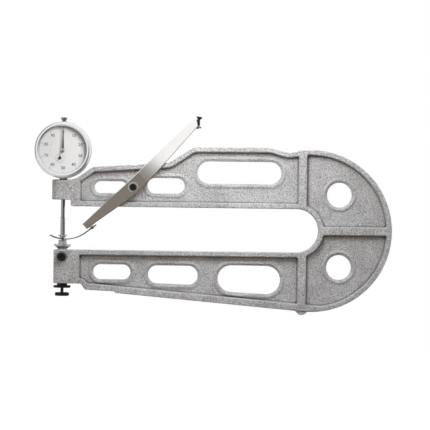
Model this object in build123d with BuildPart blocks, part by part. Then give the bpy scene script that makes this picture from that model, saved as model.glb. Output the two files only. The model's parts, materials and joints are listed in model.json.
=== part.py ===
from build123d import *
import math
import os

# Deep-throat dial thickness gauge, in millimetres.
# The row frame has +X from the spindle towards the bow, +Z up along the spindle and -Y out of the dial.
# Sizes are given from the spindle axis (x) and the measuring plane (z), with depth d towards the viewer.

# Throat and bow of the casting
throat_depth = 257.0
throat_gap = 43.6
throat_mid = 16.5
bow_radius = 81.0
bow_offset = 13.8
bow_hole_radius = 12.5
bow_hole_spacing = 72.7
bow_hole_offset = 28.5
rim_half = 10.0
web_half = 3.5
rim_width = 4.6
lower_rim_width = 6.4
rib_width = 7.6
rib_setback = 8.5
pocket_corner = 2.2
pocket_draft = 8.0
rim_round = 0.9
lip_round = 1.1
lug_radius = 6.5
lug_drop = 3.4

# Upper arm
head_left = -10.6
head_bevel = 4.4
head_bevel_depth = 3.0
head_right = 8.3
head_top = 64.9
head_bottom = 44.8
set_screw_z = 55.0
set_screw_radius = 2.0
pocket_left = 17.0
neck_x = 12.0
shoulder_x = 30.0
shoulder_z = 77.9
shoulder_rise = 5.0
rise_x = 106.5
crest_x = 130.5
crest_rise = 1.7
crest_to_rib = 32.5
valley_to_rib = 14.0
valley_drop = 3.6
bow_start_angle = 99.0

# Lower arm
block_left = -8.2
block_right = 19.3
block_bottom = -39.1
foot_x = 23.6
foot_z = -45.1
heel_x = 54.2
heel_z = -48.0
heel_step = 1.6
slot_to_rib = 21.4

# Dial indicator
dial_gap = 0.9
case_radius = 27.0
case_wall = 2.0
case_front = 8.0
case_back = 8.0
front_wall = 1.5
cover_thickness = 1.5
bezel_wall = 1.5
bezel_front = 15.0
face_inset = 3.0
crystal_thickness = 1.2
inner_dial_radius = 13.0
dial_thickness = 0.5
stem_radius = 4.0
stem_rise = 0.4
stem_boss_radius = 7.0
stem_boss_height = 5.0
spindle_radius = 2.0
travel = 10.0

# Movement
counter_x = -3.1
counter_drop = 8.0
rack_pitch = 0.625
rack_pinion_teeth = 16
wheel_teeth = 80
pinion_teeth = 8
wheel_thickness = 0.6
wheel_front = 6.1
take_up_front = 5.1
plate_thickness = 1.2
plate_back = 5.2
arbor_radius = 0.6
pivot_radius = 0.4
guide_pin_radius = 0.6
guide_pin_length = 9.6
pointer_length = 22.3
counter_pointer_length = 3.6

# Spindle end and lifting fork
extension_radius = 2.3
extension_top = 26.8
collar_radius = 4.4
collar_top = 9.3
collar_bottom = 6.5
contact_radius = 4.35
contact_top = 4.4
neck_radius = 1.3
fork_radius = 33.1
fork_centre = (2.9, 38.3)
fork_thickness = 0.9
fork_width = 11.0
fork_slot_width = 3.6
fork_slot_end = 10.5
fork_tip_x = -12.4
fork_end_angle = 37.0
fork_end_x = 33.4

# Lifting lever
pivot_x = 70.75
pivot_z = 58.0
pivot_boss_radius = 5.4
pivot_boss_front = 13.0
pivot_screw_radius = 2.0
pivot_head_radius = 3.5
pivot_head_height = 2.6
pivot_socket = 3.0
bush_radius = 3.0
bush_flange_radius = 5.0
bush_flange_thickness = 0.8
lever_thickness = 1.6
lever_back = 14.0
hub_radius = 7.4
lever_end = ((20.4, 20.6), (24.7, 15.7))
knee = (101.2, 90.2)
knee_radius = 6.0
tip = (131.2, 122.2)
tip_radius = 4.1
bend_start = 13.7
bend_angle = 1.6
lean_end = 46.0
lean_angle = 5.0
lever_edge = 0.45
tab_length = 8.9
tab_reach = 6.0
button_foot = (134.4, 120.0)
button_angle = 80.0
button_depth = 5.8
button_height = 9.6
button_screw_radius = 0.7
rivet_along = 4.6
rivet_depths = (-3.3, 3.3)
rivet_radius = 0.9
rivet_head = 0.7
spacer_radius = 1.8

# Anvil
anvil_radius = 8.5
anvil_shank_radius = 4.5
anvil_shank_bottom = -24.0
anvil_top = -0.05
anvil_cone_bottom = -4.5
screw_radius = 1.5
screw_socket = 2.0
screw_grip = 7.0
nut_flange_radius = 8.6
nut_flange_thickness = 2.4
nut_collar_radius = 5.2
nut_collar_height = 2.1
nut_grooves = 40
screw_head_radius = 7.1
screw_head_top = -48.3
screw_head_bottom = -51.8
screw_head_grooves = 36
clamp_z = -12.4
clamp_screw_radius = 2.0
clamp_head_radius = 4.6
clamp_washer_radius = 5.5
clamp_washer_thickness = 1.1
clamp_head_height = 4.2
clamp_head_grooves = 24
clamp_socket = 4.0

# Clearances
running = 0.03
seat = 0.02
face_gap = 0.05

# Derived places
bow_x = throat_depth - throat_gap / 2 + bow_offset
rib_x = bow_x - rib_setback
crest_z = throat_mid + bow_radius + crest_rise
valley_z = throat_mid + bow_radius - valley_drop
throat_top = throat_mid + throat_gap / 2
throat_bottom = throat_mid - throat_gap / 2
throat_end_x = throat_depth - throat_gap / 2
bow_hole_x = bow_x + bow_hole_offset
bezel_radius = case_radius + bezel_wall
face_radius = case_radius - face_inset
dial_z = head_top + dial_gap + bezel_radius
stem_bottom = head_bottom + stem_rise
spindle_x = -bow_hole_x
plane_z = -throat_mid
# Slots through the web: left end, right end, top edge, left radius, right radius
slots = [
    (31.5, 64.0, 63.9, 6.0, 6.0),
    (84.5, 122.0, 67.7, 7.75, 7.75),
    (134.8, rib_x - slot_to_rib, 85.2, 11.25, 11.25),
    (31.0, 68.6, -19.6, 7.5, 7.5),
    (86.2, 136.2, -20.0, 9.0, 9.6),
    (156.2, rib_x - slot_to_rib, -19.0, 13.4, 14.4),
]

front = Plane(origin=(spindle_x, 0, plane_z), x_dir=(1, 0, 0), z_dir=(0, -1, 0))
spindle_axis = Axis((spindle_x, 0, 0), (0, 0, 1))


def place(x, z, d=0.0):
    """The point in the row frame for gauge coordinates x, z and depth d."""
    return (spindle_x + x, -d, plane_z + z)


def depth_plane(x, z):
    """A plane through (x, z) for turned profiles: its x runs outwards and its y towards the viewer."""
    return Plane(origin=place(x, z), x_dir=(1, 0, 0), z_dir=(0, 0, -1))


def depth_axis(x, z):
    return Axis(place(x, z), (0, -1, 0))


def turn_on_spindle(points, mode=Mode.ADD):
    """Revolve a profile of (radius, z) about the spindle axis."""
    with BuildSketch(front) as profile:
        with BuildLine():
            Polyline(*points, close=True)
        make_face()
    revolve(profile.sketch, axis=spindle_axis, mode=mode)


def turn_in_depth(x, z, points, mode=Mode.ADD):
    """Revolve a profile of (radius, d) about a line through (x, z) that points at the viewer."""
    with BuildSketch(depth_plane(x, z)) as profile:
        with BuildLine():
            Polyline(*points, close=True)
        make_face()
    revolve(profile.sketch, axis=depth_axis(x, z), mode=mode)


def peg(x, z, d_from, d_to, radius, mode=Mode.ADD):
    """A round peg, or a hole with mode SUBTRACT, between two depths."""
    with BuildSketch(front.offset(d_from)) as section:
        with Locations((x, z)):
            Circle(radius)
    extrude(section.sketch, amount=d_to - d_from, mode=mode)


def ring_points(inner, outer, low, high):
    return [(inner, low), (outer, low), (outer, high), (inner, high)]


def corner(sketch, x, z):
    """The corner of a sketch nearest to (x, z)."""
    return sketch.vertices().sort_by_distance((x, z, 0))[0]


def hex_socket(x, z, d_from, d_to, across, mode=Mode.SUBTRACT):
    """A hexagon socket, given its size across the flats."""
    with BuildSketch(front.offset(d_from)) as socket:
        with Locations((x, z)):
            RegularPolygon(across / 2, 6, major_radius=False)
    extrude(socket.sketch, amount=d_to - d_from, mode=mode)


def knurl(radius, low, high, count):
    """Fine upright grooves around a rim on the spindle axis."""
    with BuildSketch(Plane(origin=place(0, low), z_dir=(0, 0, 1))) as grooves:
        with PolarLocations(radius + 0.1, count):
            Rectangle(0.6, 0.45, rotation=45)
    extrude(grooves.sketch, amount=high - low, mode=Mode.SUBTRACT)


def save(piece, name):
    piece.part.label = name
    export_step(piece.part, f"parts/{name}.step")


os.makedirs("parts", exist_ok=True)

# Frame casting: an I-section arm and bow with slots, ribs and bosses
reach = (heel_x - bow_x, heel_z - throat_mid)
tangent_turn = math.acos(bow_radius / math.hypot(*reach))
tangent_angle = math.atan2(reach[1], reach[0]) + tangent_turn
bow_start = (
    bow_x + bow_radius * math.cos(math.radians(bow_start_angle)),
    throat_mid + bow_radius * math.sin(math.radians(bow_start_angle)),
)
bow_end = (
    bow_x + bow_radius * math.cos(tangent_angle),
    throat_mid + bow_radius * math.sin(tangent_angle),
)
heel = (heel_x, heel_z)
neck = (neck_x, head_top)
shoulder = (shoulder_x, shoulder_z)
rise = (rise_x, shoulder_z + shoulder_rise)
crest_start = (crest_x, crest_z - 0.3)
crest_end = (rib_x - crest_to_rib, crest_z + 0.3)
valley = (rib_x - valley_to_rib, valley_z)

with BuildSketch() as outline:
    with BuildLine():
        Polyline(
            (throat_end_x, throat_top),
            (head_right, throat_top),
            (head_right, head_bottom),
            (head_left, head_bottom),
            (head_left, head_top),
            neck,
            shoulder,
            rise,
            crest_start,
            crest_end,
            valley,
            bow_start,
        )
        ThreePointArc(bow_start, (bow_x + bow_radius, throat_mid), bow_end)
        Polyline(
            bow_end,
            heel,
            (heel_x - heel_step, heel_z + heel_step),
            (foot_x, foot_z),
            (block_right, block_bottom),
            (block_left, block_bottom),
            (block_left, throat_bottom),
            (throat_end_x, throat_bottom),
        )
        ThreePointArc(
            (throat_end_x, throat_bottom),
            (throat_depth, throat_mid),
            (throat_end_x, throat_top),
        )
    make_face()
    for (x, z), radius in (
        (neck, 18.0),
        (shoulder, 5.0),
        (rise, 18.0),
        (crest_start, 18.0),
        (crest_end, 25.0),
        (valley, 22.0),
        ((head_right, throat_top), 2.0),
        ((head_right, head_bottom), 1.5),
        ((head_left, head_top), 1.5),
        ((head_left, head_bottom), 1.0),
        ((foot_x, foot_z), 2.0),
        ((block_right, block_bottom), 2.0),
        ((block_left, block_bottom), 1.0),
        ((block_left, throat_bottom), 1.0),
    ):
        fillet(corner(outline, x, z), radius)

with BuildSketch() as pockets:
    add(outline.sketch)
    offset(amount=-(rim_width + pocket_corner))
    with Locations((rib_x, throat_mid)):
        Rectangle(rib_width + 2 * pocket_corner, 3 * bow_radius, mode=Mode.SUBTRACT)
    with Locations((rib_x, throat_mid)):
        Rectangle(
            2 * bow_radius,
            rib_width + 2 * pocket_corner,
            align=(Align.MIN, Align.CENTER),
            mode=Mode.SUBTRACT,
        )
    with Locations((pocket_left + pocket_corner, throat_mid)):
        Rectangle(4 * bow_radius, 4 * bow_radius, align=(Align.MAX, Align.CENTER), mode=Mode.SUBTRACT)
    with Locations(Location(heel, math.degrees(tangent_angle) + 90)):
        Rectangle(
            6 * bow_radius,
            2 * (lower_rim_width + pocket_corner),
            mode=Mode.SUBTRACT,
        )
    offset(amount=pocket_corner)

with BuildPart() as frame_casting:
    with BuildSketch(front):
        add(outline.sketch)
    extrude(amount=rim_half, both=True)
    # The head's end is bevelled on both sides
    with BuildSketch(Plane(origin=place(head_left, head_bottom - 1), z_dir=(0, 0, 1))) as bevel:
        for side in (1, -1):
            with BuildLine():
                Polyline(
                    (-1, side * (rim_half - head_bevel_depth * (1 + 1 / head_bevel))),
                    (head_bevel + 1, side * (rim_half + head_bevel_depth / head_bevel)),
                    (-1, side * (rim_half + head_bevel_depth / head_bevel)),
                    close=True,
                )
            make_face()
    extrude(bevel.sketch, amount=head_top - head_bottom + 2, mode=Mode.SUBTRACT)
    fillet(frame_casting.faces().filter_by(Axis.Y).edges(), rim_round)
    # The recessed web on both sides
    for side in (1, -1):
        with BuildSketch(front.offset(side * rim_half)) as recess:
            add(pockets.sketch)
        extrude(
            recess.sketch,
            amount=-side * (rim_half - web_half),
            taper=pocket_draft,
            mode=Mode.SUBTRACT,
        )
    flat_faces = frame_casting.faces().filter_by(Axis.Y)
    rim_faces = flat_faces.filter_by(lambda face: abs(face.center().Y) > rim_half - 0.1)
    pocket_rims = [edge for face in rim_faces for wire in face.inner_wires() for edge in wire.edges()]
    fillet(pocket_rims, rim_round)
    # Half-round lug below the upright rib
    with BuildSketch(front) as lug:
        with Locations((rib_x, throat_mid - bow_radius + lug_drop)):
            Circle(lug_radius)
    extrude(lug.sketch, amount=rim_half - rim_round, both=True)
    # Slots and the two round holes through the web
    with BuildSketch(front.offset(-web_half)) as openings:
        for left, right, top, left_radius, right_radius in slots:
            with BuildSketch(mode=Mode.PRIVATE) as slot:
                with Locations((left + left_radius, top - left_radius)):
                    Circle(left_radius)
                with Locations((right - right_radius, top - right_radius)):
                    Circle(right_radius)
                make_hull()
            add(slot.sketch)
        with Locations(
            (bow_hole_x, throat_mid + bow_hole_spacing / 2),
            (bow_hole_x, throat_mid - bow_hole_spacing / 2),
        ):
            Circle(bow_hole_radius)
    extrude(openings.sketch, amount=2 * web_half, mode=Mode.SUBTRACT)
    flat_faces = frame_casting.faces().filter_by(Axis.Y)
    web_faces = flat_faces.filter_by(lambda face: abs(face.center().Y) < web_half + 0.1)
    slot_lips = [
        edge
        for face in web_faces
        for wire in face.inner_wires()
        for edge in wire.edges()
    ]
    fillet(slot_lips, lip_round)
    # Boss that carries the lever's pivot
    peg(pivot_x, pivot_z, web_half - 1.0, pivot_boss_front, pivot_boss_radius)
    peg(pivot_x, pivot_z, -web_half, pivot_boss_front, pivot_screw_radius + seat, mode=Mode.SUBTRACT)
    # Stem bore, anvil bore and the threaded holes that meet them
    turn_on_spindle(ring_points(0, stem_radius + seat, head_bottom - 1, head_top + 1), mode=Mode.SUBTRACT)
    turn_on_spindle(
        ring_points(0, anvil_shank_radius + running, anvil_shank_bottom - 3, throat_bottom + 1),
        mode=Mode.SUBTRACT,
    )
    turn_on_spindle(ring_points(0, screw_radius + face_gap, block_bottom - 1, 0), mode=Mode.SUBTRACT)
    peg(0, clamp_z, 0.0, rim_half + 1, clamp_screw_radius + face_gap, mode=Mode.SUBTRACT)
    peg(0, set_screw_z, -rim_half - 1, 0.0, set_screw_radius + seat, mode=Mode.SUBTRACT)
save(frame_casting, "frame_casting")

# Grub screw in the back of the head that clamps the stem
with BuildPart() as stem_set_screw:
    peg(0, set_screw_z, -rim_half + 0.4, -stem_radius - face_gap, set_screw_radius)
    hex_socket(0, set_screw_z, -rim_half + 0.4, -rim_half + 2.4, screw_socket)
save(stem_set_screw, "stem_set_screw")

# Dial indicator case: a cup with the stem socket, the dial wall and four cover posts
stem_top = dial_z - case_radius + case_wall + 1.5
boss_top = dial_z - case_radius + stem_boss_height
inner_radius = case_radius - case_wall
counter_z = dial_z - counter_drop
take_up_x = -counter_x
take_up_z = dial_z + counter_drop
cover_screw_places = [
    (
        (inner_radius - 1.6) * math.cos(math.radians(45 + 90 * turn)),
        dial_z + (inner_radius - 1.6) * math.sin(math.radians(45 + 90 * turn)),
    )
    for turn in range(4)
]
with BuildPart() as dial_case:
    turn_in_depth(
        0,
        dial_z,
        [
            (0, case_front - front_wall),
            (inner_radius, case_front - front_wall),
            (inner_radius, -case_back),
            (case_radius - 0.8, -case_back),
            (case_radius, -case_back + 0.8),
            (case_radius, case_front),
            (0, case_front),
        ],
    )
    with BuildSketch(Plane(origin=place(0, dial_z - case_radius + 0.6), z_dir=(0, 0, 1))) as socket:
        Circle(stem_boss_radius)
    extrude(socket.sketch, amount=stem_boss_height - 0.6)
    for x, z in cover_screw_places:
        peg(x, z, -case_back, case_front - front_wall, 1.9)
    for x, z in cover_screw_places:
        peg(x, z, -case_back - 1, -case_back + 4.0, 0.8 + seat, mode=Mode.SUBTRACT)
    stem_socket = ring_points(0, stem_radius + seat, dial_z - case_radius - 1, stem_top)
    turn_on_spindle(stem_socket, mode=Mode.SUBTRACT)
    turn_on_spindle(ring_points(0, spindle_radius + 0.3, stem_top - 1, boss_top + 1), mode=Mode.SUBTRACT)
    turn_on_spindle(ring_points(0, 3.0 + seat, dial_z, dial_z + case_radius + 1), mode=Mode.SUBTRACT)
    peg(0, dial_z, 0, case_front + 1, arbor_radius - 0.1 + running, mode=Mode.SUBTRACT)
    peg(counter_x, counter_z, 0, case_front + 1, arbor_radius - 0.1 + running, mode=Mode.SUBTRACT)
    peg(take_up_x, take_up_z, 0, case_front - 0.5, pivot_radius + running, mode=Mode.SUBTRACT)
save(dial_case, "dial_case")

# Back cover with four countersunk screws
with BuildPart() as back_cover:
    turn_in_depth(
        0,
        dial_z,
        [
            (0, -case_back - cover_thickness),
            (case_radius - 1.6, -case_back - cover_thickness),
            (case_radius - 0.8, -case_back - cover_thickness + 0.8),
            (case_radius - 0.8, -case_back - seat),
            (0, -case_back - seat),
        ],
    )
    for x, z in cover_screw_places:
        turn_in_depth(
            x,
            z,
            [
                (0, -case_back - cover_thickness - 0.1),
                (1.72, -case_back - cover_thickness - 0.1),
                (0.9, -case_back - 0.6),
                (0.9, -case_back),
                (0, -case_back),
            ],
            mode=Mode.SUBTRACT,
        )
save(back_cover, "back_cover")

with BuildPart() as cover_screws:
    for x, z in cover_screw_places:
        turn_in_depth(
            x,
            z,
            [
                (0, -case_back - cover_thickness),
                (1.55, -case_back - cover_thickness),
                (0.8, -case_back - 0.6),
                (0.8, -case_back + 3.6),
                (0, -case_back + 3.6),
            ],
        )
        with BuildSketch(front.offset(-case_back - cover_thickness)) as slot:
            with Locations((x, z)):
                Rectangle(4.0, 0.35)
        extrude(slot.sketch, amount=0.5, mode=Mode.SUBTRACT)
save(cover_screws, "cover_screws")

# Stem: the 8 mm tube that the head clamps, bored to guide the spindle
with BuildPart() as stem:
    turn_on_spindle(
        [
            (spindle_radius + running, stem_bottom + 0.5),
            (spindle_radius + 0.5, stem_bottom),
            (stem_radius - 0.4, stem_bottom),
            (stem_radius, stem_bottom + 0.4),
            (stem_radius, stem_top - seat),
            (spindle_radius + running, stem_top - seat),
        ]
    )
save(stem, "stem")

# Top bush: guides the spindle's upper end
bush_top = dial_z + case_radius + 0.9
with BuildPart() as top_bush:
    turn_on_spindle(
        [
            (spindle_radius + running, dial_z + inner_radius - 1.0),
            (3.0, dial_z + inner_radius - 1.0),
            (3.0, dial_z + case_radius + seat),
            (3.9, dial_z + case_radius + seat),
            (3.5, bush_top),
            (spindle_radius + running, bush_top),
        ]
    )
save(top_bush, "top_bush")

# Inner dial: the fixed middle of the face, seated on the case's front wall
dial_front = case_front + 0.15 + dial_thickness
with BuildPart() as inner_dial:
    turn_in_depth(0, dial_z, ring_points(0, inner_dial_radius, case_front + seat, dial_front))
    peg(0, dial_z, case_front, dial_front + 1, 0.9, mode=Mode.SUBTRACT)
    peg(counter_x, counter_z, case_front, dial_front + 1, 0.8, mode=Mode.SUBTRACT)
save(inner_dial, "inner_dial")

# Bezel with its turning scale ring, crystal and crystal ring
crystal_seat = case_radius - 1.6
crystal_front = bezel_front - 1.6
with BuildPart() as bezel:
    turn_in_depth(
        0,
        dial_z,
        [
            (case_radius + face_gap, case_front - 3.4),
            (bezel_radius - 0.3, case_front - 3.4),
            (bezel_radius, case_front - 3.1),
            (bezel_radius, case_front + 2.6),
            (bezel_radius - 0.35, case_front + 3.0),
            (bezel_radius - 0.35, case_front + 3.5),
            (bezel_radius - 1.6, bezel_front - 0.6),
            (bezel_radius - 3.0, bezel_front),
            (face_radius + 0.5, bezel_front - 0.5),
            (face_radius, bezel_front - 1.0),
            (face_radius, crystal_front + seat),
            (crystal_seat + seat, crystal_front + seat),
            (crystal_seat + seat, case_front + face_gap),
            (case_radius + face_gap, case_front + face_gap),
        ],
    )
save(bezel, "bezel")

with BuildPart() as crystal:
    turn_in_depth(0, dial_z, ring_points(0, crystal_seat, crystal_front - crystal_thickness, crystal_front))
save(crystal, "crystal")

crystal_back = crystal_front - crystal_thickness
with BuildPart() as crystal_ring:
    turn_in_depth(
        0,
        dial_z,
        ring_points(face_radius, crystal_seat, dial_front + seat, crystal_back - seat),
    )
save(crystal_ring, "crystal_ring")

with BuildPart() as scale_ring:
    turn_in_depth(
        0,
        dial_z,
        ring_points(inner_dial_radius + 0.1, crystal_seat, dial_front - dial_thickness, dial_front),
    )
save(scale_ring, "scale_ring")

# Movement: rear plate on four pillars, and the bridge over the centre arbor's back end
pillar_places = [(-15.0, 6.0), (15.0, -6.0), (9.0, 17.0), (-9.0, -17.0)]
plate_front = -plate_back + plate_thickness
hairspring_outer = 4.9
hairspring_front = -2.7
stud_place = (take_up_x + hairspring_outer + 0.7, take_up_z)
with BuildPart() as rear_plate:
    with BuildSketch(front.offset(-plate_back)) as profile:
        with Locations(*[(x, dial_z + z) for x, z in pillar_places]):
            Circle(3.0)
        make_hull()
        with Locations((counter_x, counter_z), (take_up_x, take_up_z)):
            Circle(pivot_radius + running, mode=Mode.SUBTRACT)
        with Locations((0, dial_z + 8.0), (0, dial_z - 8.0)):
            SlotOverall(6.0, 2.6, rotation=90, mode=Mode.SUBTRACT)
        with Locations(*[(x, dial_z + z) for x, z in pillar_places]):
            Circle(0.8 + seat, mode=Mode.SUBTRACT)
    extrude(profile.sketch, amount=plate_thickness)
    peg(*stud_place, plate_front - 0.2, hairspring_front, 0.5)
save(rear_plate, "rear_plate")

with BuildPart() as plate_pillars:
    for x, z in pillar_places:
        peg(x, dial_z + z, plate_front + seat, case_front - front_wall - seat, 1.3)
        peg(x, dial_z + z, -plate_back - 0.6, plate_front + 0.5, 0.8)
        turn_in_depth(
            x,
            dial_z + z,
            ring_points(0, 1.5, -plate_back - 1.1, -plate_back - seat),
        )
save(plate_pillars, "plate_pillars")

bridge_ends = [(-9.0, 6.0), (7.4, -6.0)]
bridge_back = 2.6
bridge_front = bridge_back + plate_thickness - 0.1
with BuildPart() as centre_bridge:
    with BuildSketch(front.offset(bridge_back)) as profile:
        with Locations(*[(x, dial_z + z) for x, z in bridge_ends]):
            Circle(2.0)
        make_hull()
        with Locations((0, dial_z)):
            Circle(pivot_radius + running, mode=Mode.SUBTRACT)
    extrude(profile.sketch, amount=bridge_front - bridge_back)
    for x, z in bridge_ends:
        peg(x, dial_z + z, bridge_front - 0.3, case_front - front_wall - seat, 1.8)
save(centre_bridge, "centre_bridge")


def gear(x, z, d_from, d_to, teeth, module, tooth_share, turn):
    """A spur gear about (x, z) with trapezoid teeth; one tooth points along the angle turn."""
    pitch_radius = module * teeth / 2
    root = pitch_radius - 1.2 * module
    crown = pitch_radius + 0.95 * module
    half_pitch = math.pi * module * tooth_share / 2
    with BuildSketch(front.offset(d_from)) as wheel:
        with Locations((x, z)):
            Circle(root + 0.02)
        with Locations(Location((x, z), turn)):
            with PolarLocations(0, teeth):
                with Locations((root, 0)):
                    Trapezoid(
                        2.6 * half_pitch,
                        crown - root,
                        78,
                        rotation=-90,
                        align=(Align.CENTER, Align.MIN),
                    )
    extrude(wheel.sketch, amount=d_to - d_from)


mesh_distance = math.hypot(counter_x, counter_drop)
module = 2 * mesh_distance / (wheel_teeth + pinion_teeth)
rack_module = rack_pitch / math.pi
rack_line = counter_x + rack_module * rack_pinion_teeth / 2
to_counter = math.degrees(math.atan2(-counter_drop, counter_x))
pinion_turn = to_counter + 180.0 / pinion_teeth

counter_tip = dial_front + 1.0

with BuildPart() as rack_arbor:
    # Rear pivot, shaft, rack pinion, the large wheel and the thin front end that carries the pointer
    peg(counter_x, counter_z, -plate_back, plate_front + 0.1, pivot_radius)
    peg(counter_x, counter_z, plate_front + 0.1, wheel_front + 0.2, arbor_radius)
    peg(counter_x, counter_z, wheel_front + 0.1, counter_tip, arbor_radius - 0.1)
    gear(counter_x, counter_z, -2.2, 2.2, rack_pinion_teeth, rack_module, 0.34, 0)
    wheel_back = wheel_front - wheel_thickness
    gear(counter_x, counter_z, wheel_back, wheel_front, wheel_teeth, module, 0.38, to_counter + 180.0)
save(rack_arbor, "rack_arbor")

with BuildPart() as centre_arbor:
    peg(0, dial_z, bridge_back, bridge_front + 0.1, pivot_radius)
    peg(0, dial_z, bridge_front + 0.1, dial_front + 3.2, arbor_radius - 0.1)
    gear(0, dial_z, take_up_front - 0.8, wheel_front + 0.2, pinion_teeth, module, 0.34, pinion_turn)
save(centre_arbor, "centre_arbor")

with BuildPart() as take_up_wheel:
    peg(take_up_x, take_up_z, -plate_back, plate_front + 0.1, pivot_radius)
    peg(take_up_x, take_up_z, plate_front + 0.1, take_up_front + 0.2, arbor_radius)
    peg(take_up_x, take_up_z, take_up_front + 0.1, case_front - 0.7, pivot_radius)
    peg(take_up_x, take_up_z, hairspring_front - 0.7, hairspring_front + 0.1, 1.1)
    wheel_back = take_up_front - wheel_thickness
    gear(take_up_x, take_up_z, wheel_back, take_up_front, wheel_teeth, module, 0.38, to_counter)
save(take_up_wheel, "take_up_wheel")

# Hairspring: half turns of growing radius behind the spindle, from the collet to the stud
hairspring_inner = 1.4
half_turns = 7
step = (hairspring_outer - hairspring_inner) / half_turns
with BuildPart() as hairspring:
    with BuildSketch(front.offset(hairspring_front - 0.5)) as spiral:
        with BuildLine() as coil:
            for index in range(half_turns):
                radius = hairspring_inner + step * (index + 0.5)
                shift = -step / 2 if index % 2 == 0 else step / 2
                CenterArc(
                    (take_up_x + shift, take_up_z),
                    radius,
                    0 if index % 2 == 0 else 180,
                    180,
                )
        trace(coil.line, 0.16)
    extrude(spiral.sketch, amount=0.5)
save(hairspring, "hairspring")

# Pointers
with BuildPart() as main_pointer:
    with BuildSketch(front.offset(dial_front + 2.3)) as blade:
        with BuildLine():
            Polyline(
                (-0.75, dial_z - 2.6),
                (0.75, dial_z - 2.6),
                (0.95, dial_z),
                (0.22, dial_z + pointer_length),
                (-0.22, dial_z + pointer_length),
                (-0.95, dial_z),
                close=True,
            )
        make_face()
    extrude(blade.sketch, amount=0.3)
    turn_in_depth(
        0,
        dial_z,
        [
            (0, dial_front + 1.9),
            (1.5, dial_front + 1.9),
            (1.5, dial_front + 2.8),
            (1.1, dial_front + 3.3),
            (0, dial_front + 3.4),
        ],
    )
    peg(0, dial_z, dial_front + 1.8, dial_front + 3.2, arbor_radius - 0.1 + seat, mode=Mode.SUBTRACT)
save(main_pointer, "main_pointer")

with BuildPart() as counter_pointer:
    with BuildSketch(front.offset(dial_front + 0.7)) as blade:
        with BuildLine():
            Polyline(
                (counter_x - 0.35, counter_z - 1.4),
                (counter_x + 0.35, counter_z - 1.4),
                (counter_x + 0.5, counter_z),
                (counter_x + 0.15, counter_z + counter_pointer_length),
                (counter_x - 0.15, counter_z + counter_pointer_length),
                (counter_x - 0.5, counter_z),
                close=True,
            )
        make_face()
    extrude(blade.sketch, amount=0.25)
    peg(counter_x, counter_z, dial_front + 0.5, counter_tip + 0.3, 0.8)
    peg(counter_x, counter_z, dial_front, counter_tip + seat, arbor_radius - 0.1 + seat, mode=Mode.SUBTRACT)
save(counter_pointer, "counter_pointer")

# Spindle: a round rod with a rack cut in its left side and threaded ends
knob_bottom = bush_top + 0.3
rack_low = counter_z - travel - 2.6
rack_high = counter_z + 3.0
rack_teeth = math.floor((rack_high - rack_low) / rack_pitch)
first_gap = counter_z - rack_pitch * round((counter_z - rack_low) / rack_pitch)
guide_z = boss_top + 8.0
with BuildPart() as spindle:
    turn_on_spindle(
        [
            (0, extension_top - 3.5),
            (1.0, extension_top - 3.5),
            (1.0, extension_top + seat),
            (spindle_radius, extension_top + seat),
            (spindle_radius, knob_bottom - seat),
            (1.0, knob_bottom - seat),
            (1.0, knob_bottom + 2.6),
            (0, knob_bottom + 2.6),
        ]
    )
    with BuildSketch(front.offset(-spindle_radius - 1)) as rack:
        with BuildLine():
            Polyline(
                (-spindle_radius - 1, rack_low - 0.6),
                (rack_line - 0.19, rack_low),
                (rack_line - 0.19, rack_high),
                (-spindle_radius - 1, rack_high + 0.6),
                close=True,
            )
        make_face()
        for index in range(rack_teeth):
            with Locations((rack_line - 0.22, first_gap + index * rack_pitch)):
                Trapezoid(0.42, 0.46, 78, rotation=-90, align=(Align.CENTER, Align.MIN))
    extrude(rack.sketch, amount=2 * spindle_radius + 2, mode=Mode.SUBTRACT)
    with BuildSketch(Plane(origin=place(0, guide_z), x_dir=(0, 1, 0), z_dir=(1, 0, 0))) as cross_hole:
        Circle(guide_pin_radius + seat)
    extrude(cross_hole.sketch, amount=spindle_radius + 1, mode=Mode.SUBTRACT)
save(spindle, "spindle")

with BuildPart() as guide_pin:
    with BuildSketch(Plane(origin=place(0.1, guide_z), x_dir=(0, 1, 0), z_dir=(1, 0, 0))) as pin:
        Circle(guide_pin_radius)
    extrude(pin.sketch, amount=guide_pin_length)
save(guide_pin, "guide_pin")

# Guide rail: a channel on the case's front wall that keeps the pin, and so the spindle, from turning
rail_gap = guide_pin_radius + running
with BuildPart() as guide_rail:
    rail_size = (2.6, 2 * rail_gap + 2.0, travel + 8.0)
    with Locations(Location(place(guide_pin_length + 0.2, guide_z + travel / 2))):
        Box(*rail_size)
        with Locations((-0.8, 0, 0)):
            Box(rail_size[0], 2 * rail_gap, rail_size[2] + 1, mode=Mode.SUBTRACT)
    rail_front = rail_gap + 1.0
    with BuildSketch(front.offset(rail_front - 0.2)) as foot:
        with Locations((guide_pin_length + 0.8, guide_z + travel / 2)):
            RectangleRounded(1.4, travel + 4.0, 0.5)
    extrude(foot.sketch, amount=case_front - front_wall - seat - rail_front + 0.2)
save(guide_rail, "guide_rail")

# Return spring: pulls the guide pin, and so the spindle, down towards the stem boss
spring_bottom = boss_top + 0.1
spring_top = guide_z - guide_pin_radius - 0.1
spring_turns = 5
spring_wire = 0.36
with BuildPart() as return_spring:
    spring_length = spring_top - spring_bottom - spring_wire
    with BuildLine() as coil:
        Helix(
            pitch=spring_length / spring_turns,
            height=spring_length,
            radius=1.3,
            center=place(5.6, spring_bottom + spring_wire / 2),
        )
    with BuildSketch(Plane(origin=coil.line @ 0, z_dir=coil.line % 0)) as wire:
        Rectangle(spring_wire, spring_wire)
    sweep(wire.sketch, path=coil.line, is_frenet=True)
save(return_spring, "return_spring")

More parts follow.
